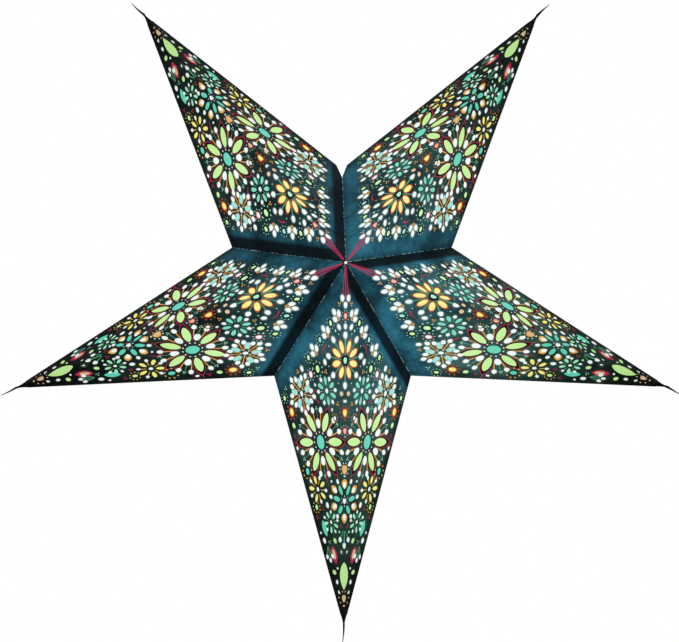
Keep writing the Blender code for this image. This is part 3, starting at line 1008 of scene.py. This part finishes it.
CORD_HOLE, HOLDER_RADIUS = 2.3 * mm, 15.5 * mm
CAP_TOP, CAP_SHOULDER, CAP_END = -1.55 * mm, -4.75 * mm, -18.55 * mm

# The ribs' top and end, their depth as a share of the radius and their count
RIBS_TOP, RIBS_END, RIB_DEPTH, RIB_COUNT = -6.5 * mm, -15.5 * mm, 0.012, 36

SLEEVE_RADIUS, LIP_RADIUS, SOCKET_RADIUS = 13.6 * mm, 15.4 * mm, 7.5 * mm
SLEEVE_TOP, SLEEVE_END, SOCKET_FLOOR = -18.6 * mm, -48.6 * mm, -23.6 * mm

BASE_RADIUS, CONTACT_RADIUS = 6.9 * mm, 3.0 * mm
BASE_TOP, BASE_END = -23.95 * mm, -47.35 * mm

# Each screw thread's side, its top and end, its pitch and how deep it is as a share of the radius
SLEEVE_THREAD = (SLEEVE_RADIUS, -20.5 * mm, -43.5 * mm, 3.2 * mm, 0.030)
BASE_THREAD = (BASE_RADIUS, -26.4 * mm, -38.6 * mm, 2.8 * mm, 0.085)

NECK_TOP, NECK_LENGTH, NECK_RADIUS = -47.45 * mm, 19.2 * mm, 13.2 * mm
GLOBE_MIDDLE, GLOBE_RADIUS = -84.9 * mm, 22.5 * mm


def turned(name, profile, material, around, swell=None):
    """A skin turned from a closed half section of (radius, height) rows.

    The radius at turn t is the profile's times 1 plus swell(t, radius, height).
    """
    radius, height = np.array(profile).T[:, :, None]
    t = np.arange(around)[None] * 2 * pi / around
    radius = radius * (1 + (swell(t, radius, height) if swell else 0 * t))
    grid = np.stack(np.broadcast_arrays(radius * np.cos(t), radius * np.sin(t), height), -1)
    here, row = np.arange(around), np.arange(len(profile))[:, None] * around
    after, next_row = (here + 1) % around, np.roll(row, -1, 0)
    faces = np.stack([row + here, next_row + here, next_row + after, row + after], -1)
    return add_mesh(name, grid.reshape(-1, 3), faces.reshape(-1, 4).tolist(), material, True)


def rounded(profile, radius, steps=4):
    """A half section whose corners are cut back by radius, or by a third of the shorter side, and rounded.

    Each corner becomes the curve start (1 - s)^2 + 2 corner s (1 - s) + end s^2, for s from 0 to 1.
    """
    corners = np.array(profile)[:, None]
    before, after = np.roll(corners, 1, 0) - corners, np.roll(corners, -1, 0) - corners
    before_length, after_length = (np.linalg.norm(way, axis=2, keepdims=True) for way in (before, after))
    cut = np.minimum(radius, np.minimum(before_length, after_length) / 3)
    s = np.linspace(0, 1, steps)[None, :, None]
    start = corners + before / before_length * cut
    end = corners + after / after_length * cut
    arc = start * (1 - s) ** 2 + 2 * corners * s * (1 - s) + end * s ** 2
    return arc.reshape(-1, 2)


def grip_ribs(t, radius, height):
    """Fine upright ribs round the cap's side: the radius drops where the sine of count t is below 0."""
    side = (radius > HOLDER_RADIUS - 0.6 * mm) & (height < RIBS_TOP) & (height > RIBS_END)
    return np.where(side, RIB_DEPTH * (np.sign(np.sin(RIB_COUNT * t)) - 1), 0.0)


def thread(side, top, end, pitch, share):
    """A rounded screw thread: the radius dips by the share as the sine of t + 2 pi height / pitch."""
    def swell(t, radius, height):
        cut = (np.abs(radius - side) < 0.6 * mm) & (height < top) & (height > end)
        return np.where(cut, share * (np.sin(t + 2 * pi * height / pitch) - 1) / 2, 0.0)
    return swell


def add_cap():
    """The lampholder's cap, with a sloping shoulder and a ribbed side between close pairs of rings."""
    ribs = [(HOLDER_RADIUS, z + step) for z in (RIBS_TOP, RIBS_END) for step in (0.1 * mm, -0.1 * mm)]
    profile = [
        (CORD_HOLE, CAP_TOP), (12.05 * mm, CAP_TOP), (HOLDER_RADIUS, CAP_SHOULDER), *ribs,
        (14.0 * mm, CAP_END), (CORD_HOLE, CAP_END)]
    cap = turned("ribbed_cap", rounded(profile, 0.5 * mm), HOLDER, 144, grip_ribs)
    settled(cap, ROOT, "holder_plastic", "lampholder_cap")


def add_sleeve():
    """The lampholder's sleeve: a threaded outside, a lip at its mouth and the socket."""
    side = [(SLEEVE_RADIUS, z * mm) for z in np.linspace(-19.4, -44.6, 64)]
    profile = [
        (AXIS, SLEEVE_TOP), (SLEEVE_RADIUS - 0.5 * mm, SLEEVE_TOP), (SLEEVE_RADIUS, SLEEVE_TOP - 0.5 * mm),
        *side, (SLEEVE_RADIUS, -45.2 * mm), (LIP_RADIUS - 0.5 * mm, -45.9 * mm), (LIP_RADIUS, -46.4 * mm),
        (LIP_RADIUS, SLEEVE_END + 0.4 * mm), (LIP_RADIUS - 0.4 * mm, SLEEVE_END),
        (SOCKET_RADIUS + 0.2 * mm, SLEEVE_END), (SOCKET_RADIUS, SLEEVE_END + 0.3 * mm),
        (SOCKET_RADIUS, SOCKET_FLOOR), (AXIS, SOCKET_FLOOR)]
    sleeve = turned("threaded_sleeve", profile, HOLDER, 72, thread(*SLEEVE_THREAD))
    settled(sleeve, ROOT, "holder_plastic", "lampholder_sleeve")


def add_screw_base():
    """The bulb's base: the contact, the sloping insulator and the threaded barrel."""
    barrel = [(BASE_RADIUS, z * mm) for z in np.linspace(-26.2, -47.0, 90)]
    profile = [
        (AXIS, BASE_TOP), (CONTACT_RADIUS - 0.8 * mm, BASE_TOP), (CONTACT_RADIUS - 0.1 * mm, -24.2 * mm),
        (CONTACT_RADIUS, -24.9 * mm), (3.6 * mm, -25.2 * mm), (6.2 * mm, -25.8 * mm), *barrel,
        (BASE_RADIUS, BASE_END), (AXIS, BASE_END)]
    base = turned("screw_base", profile, BRASS, 64, thread(*BASE_THREAD))
    settled(base, "bulb", "bulb_brass", "bulb_base")


def add_globe():
    """The bulb's glass: a neck that widens by s ^ 2.2 from the base, then a ball."""
    s = np.linspace(0, 1, 18)
    neck = np.stack([BASE_RADIUS + (NECK_RADIUS - BASE_RADIUS) * s ** 2.2, NECK_TOP - NECK_LENGTH * s], 1)
    meeting = atan2(sqrt(GLOBE_RADIUS ** 2 - NECK_RADIUS ** 2), NECK_RADIUS)
    turn = np.linspace(meeting, -pi / 2 + 0.01, 40)
    ball = np.stack([GLOBE_RADIUS * np.cos(turn), GLOBE_MIDDLE + GLOBE_RADIUS * np.sin(turn)], 1)
    top = NECK_TOP + 0.05 * mm
    profile = [(AXIS, top), (BASE_RADIUS - 0.3 * mm, top), *neck.tolist(), *ball[1:].tolist()]
    globe = turned("frosted_globe", profile, GLOBE, 64)
    settled(globe, "bulb", "frosted_glass", "bulb_globe")


add_cap()
add_sleeve()
add_screw_base()
add_globe()

# The gland keeps its own mesh
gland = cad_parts["cord_gland"].data
gland.materials.clear()
gland.materials.append(HOLDER)


# Stage, lights and camera

FLOOR_RADIUS, FLOOR_HEIGHT = 6, -0.95


def add_floor():
    """A pale round floor, well below the star."""
    count = 96
    t = np.arange(count) * 2 * pi / count
    corners = np.c_[FLOOR_RADIUS * np.cos(t), FLOOR_RADIUS * np.sin(t), np.full(count, FLOOR_HEIGHT)]
    material = Paint("pale floor").use(base_color=(0.86, 0.86, 0.86), roughness=0.9)
    add_mesh("floor", corners, [list(range(count))], material, False)


def light_world():
    """Plain pale light all round, and white to the camera, in reflections and through glass."""
    world = bpy.data.worlds.new("studio")
    world.use_nodes = True
    nodes, link = world.node_tree.nodes, world.node_tree.links.new
    plain, seen = nodes["Background"], nodes.new("ShaderNodeBackground")
    plain.inputs["Color"].default_value = seen.inputs["Color"].default_value = (1, 1, 1, 1)
    plain.inputs["Strength"].default_value = 0.55
    path = nodes.new("ShaderNodeLightPath")
    white = path.outputs["Is Camera Ray"]
    for ray in ("Is Glossy Ray", "Is Transmission Ray"):
        either = nodes.new("ShaderNodeMath")
        either.operation = "MAXIMUM"
        link(white, either.inputs[0])
        link(path.outputs[ray], either.inputs[1])
        white = either.outputs[0]
    mixed = nodes.new("ShaderNodeMixShader")
    for source, place in zip((white, plain.outputs[0], seen.outputs[0]), mixed.inputs):
        link(source, place)
    link(mixed.outputs[0], nodes["World Output"].inputs[0])
    bpy.context.scene.world = world


def add_lamp(name, place, size, power):
    """A square lamp that points at the star's middle."""
    light = bpy.data.lights.new(name, "AREA")
    light.size, light.energy = size, power
    thing = add_object(name, light)
    thing.location = place
    thing.rotation_euler = (Vector(CENTRE) - Vector(place)).to_track_quat("-Z", "Y").to_euler()


# The view found from the photograph, by its lens: the star's turns in degrees, the place of its middle,
# and the lens's length in pixels of a picture as wide as the photograph
VIEW_TURNS = (("Z", 0.04), ("Y", 1.53), ("X", -8.05))
VIEW_PLACE = (0.0024, 0.0338, -2.18)
LENS_PIXELS, PICTURE_PIXELS = 2466.7, 679


def add_camera():
    """A camera placed so that the star is turned about its middle in front of it."""
    turn = Matrix.Identity(3)
    for axis, angle in VIEW_TURNS:
        turn = turn @ Matrix.Rotation(radians(angle), 3, axis)
    turn = turn @ Matrix(((1, 0, 0), (0, 0, 1), (0, -1, 0)))
    shift = Vector(VIEW_PLACE) - turn @ Vector(CENTRE)
    camera = bpy.data.cameras.new("camera")
    camera.sensor_width = 36
    camera.lens = LENS_PIXELS * camera.sensor_width / PICTURE_PIXELS
    camera.clip_start, camera.clip_end = 0.05, 50
    thing = add_object("camera", camera)
    thing.matrix_world = (Matrix.Translation(shift) @ turn.to_4x4()).inverted()
    bpy.context.scene.camera = thing


add_floor()
light_world()
add_lamp("key", (-1.4, -2.2, 1.3), 1.6, 18)
add_lamp("fill", (1.8, -1.6, 0.3), 1.8, 9)
add_lamp("back", (0.3, 2.2, 1.2), 1.8, 12)
add_camera()
bpy.context.scene.view_settings.view_transform = "Standard"
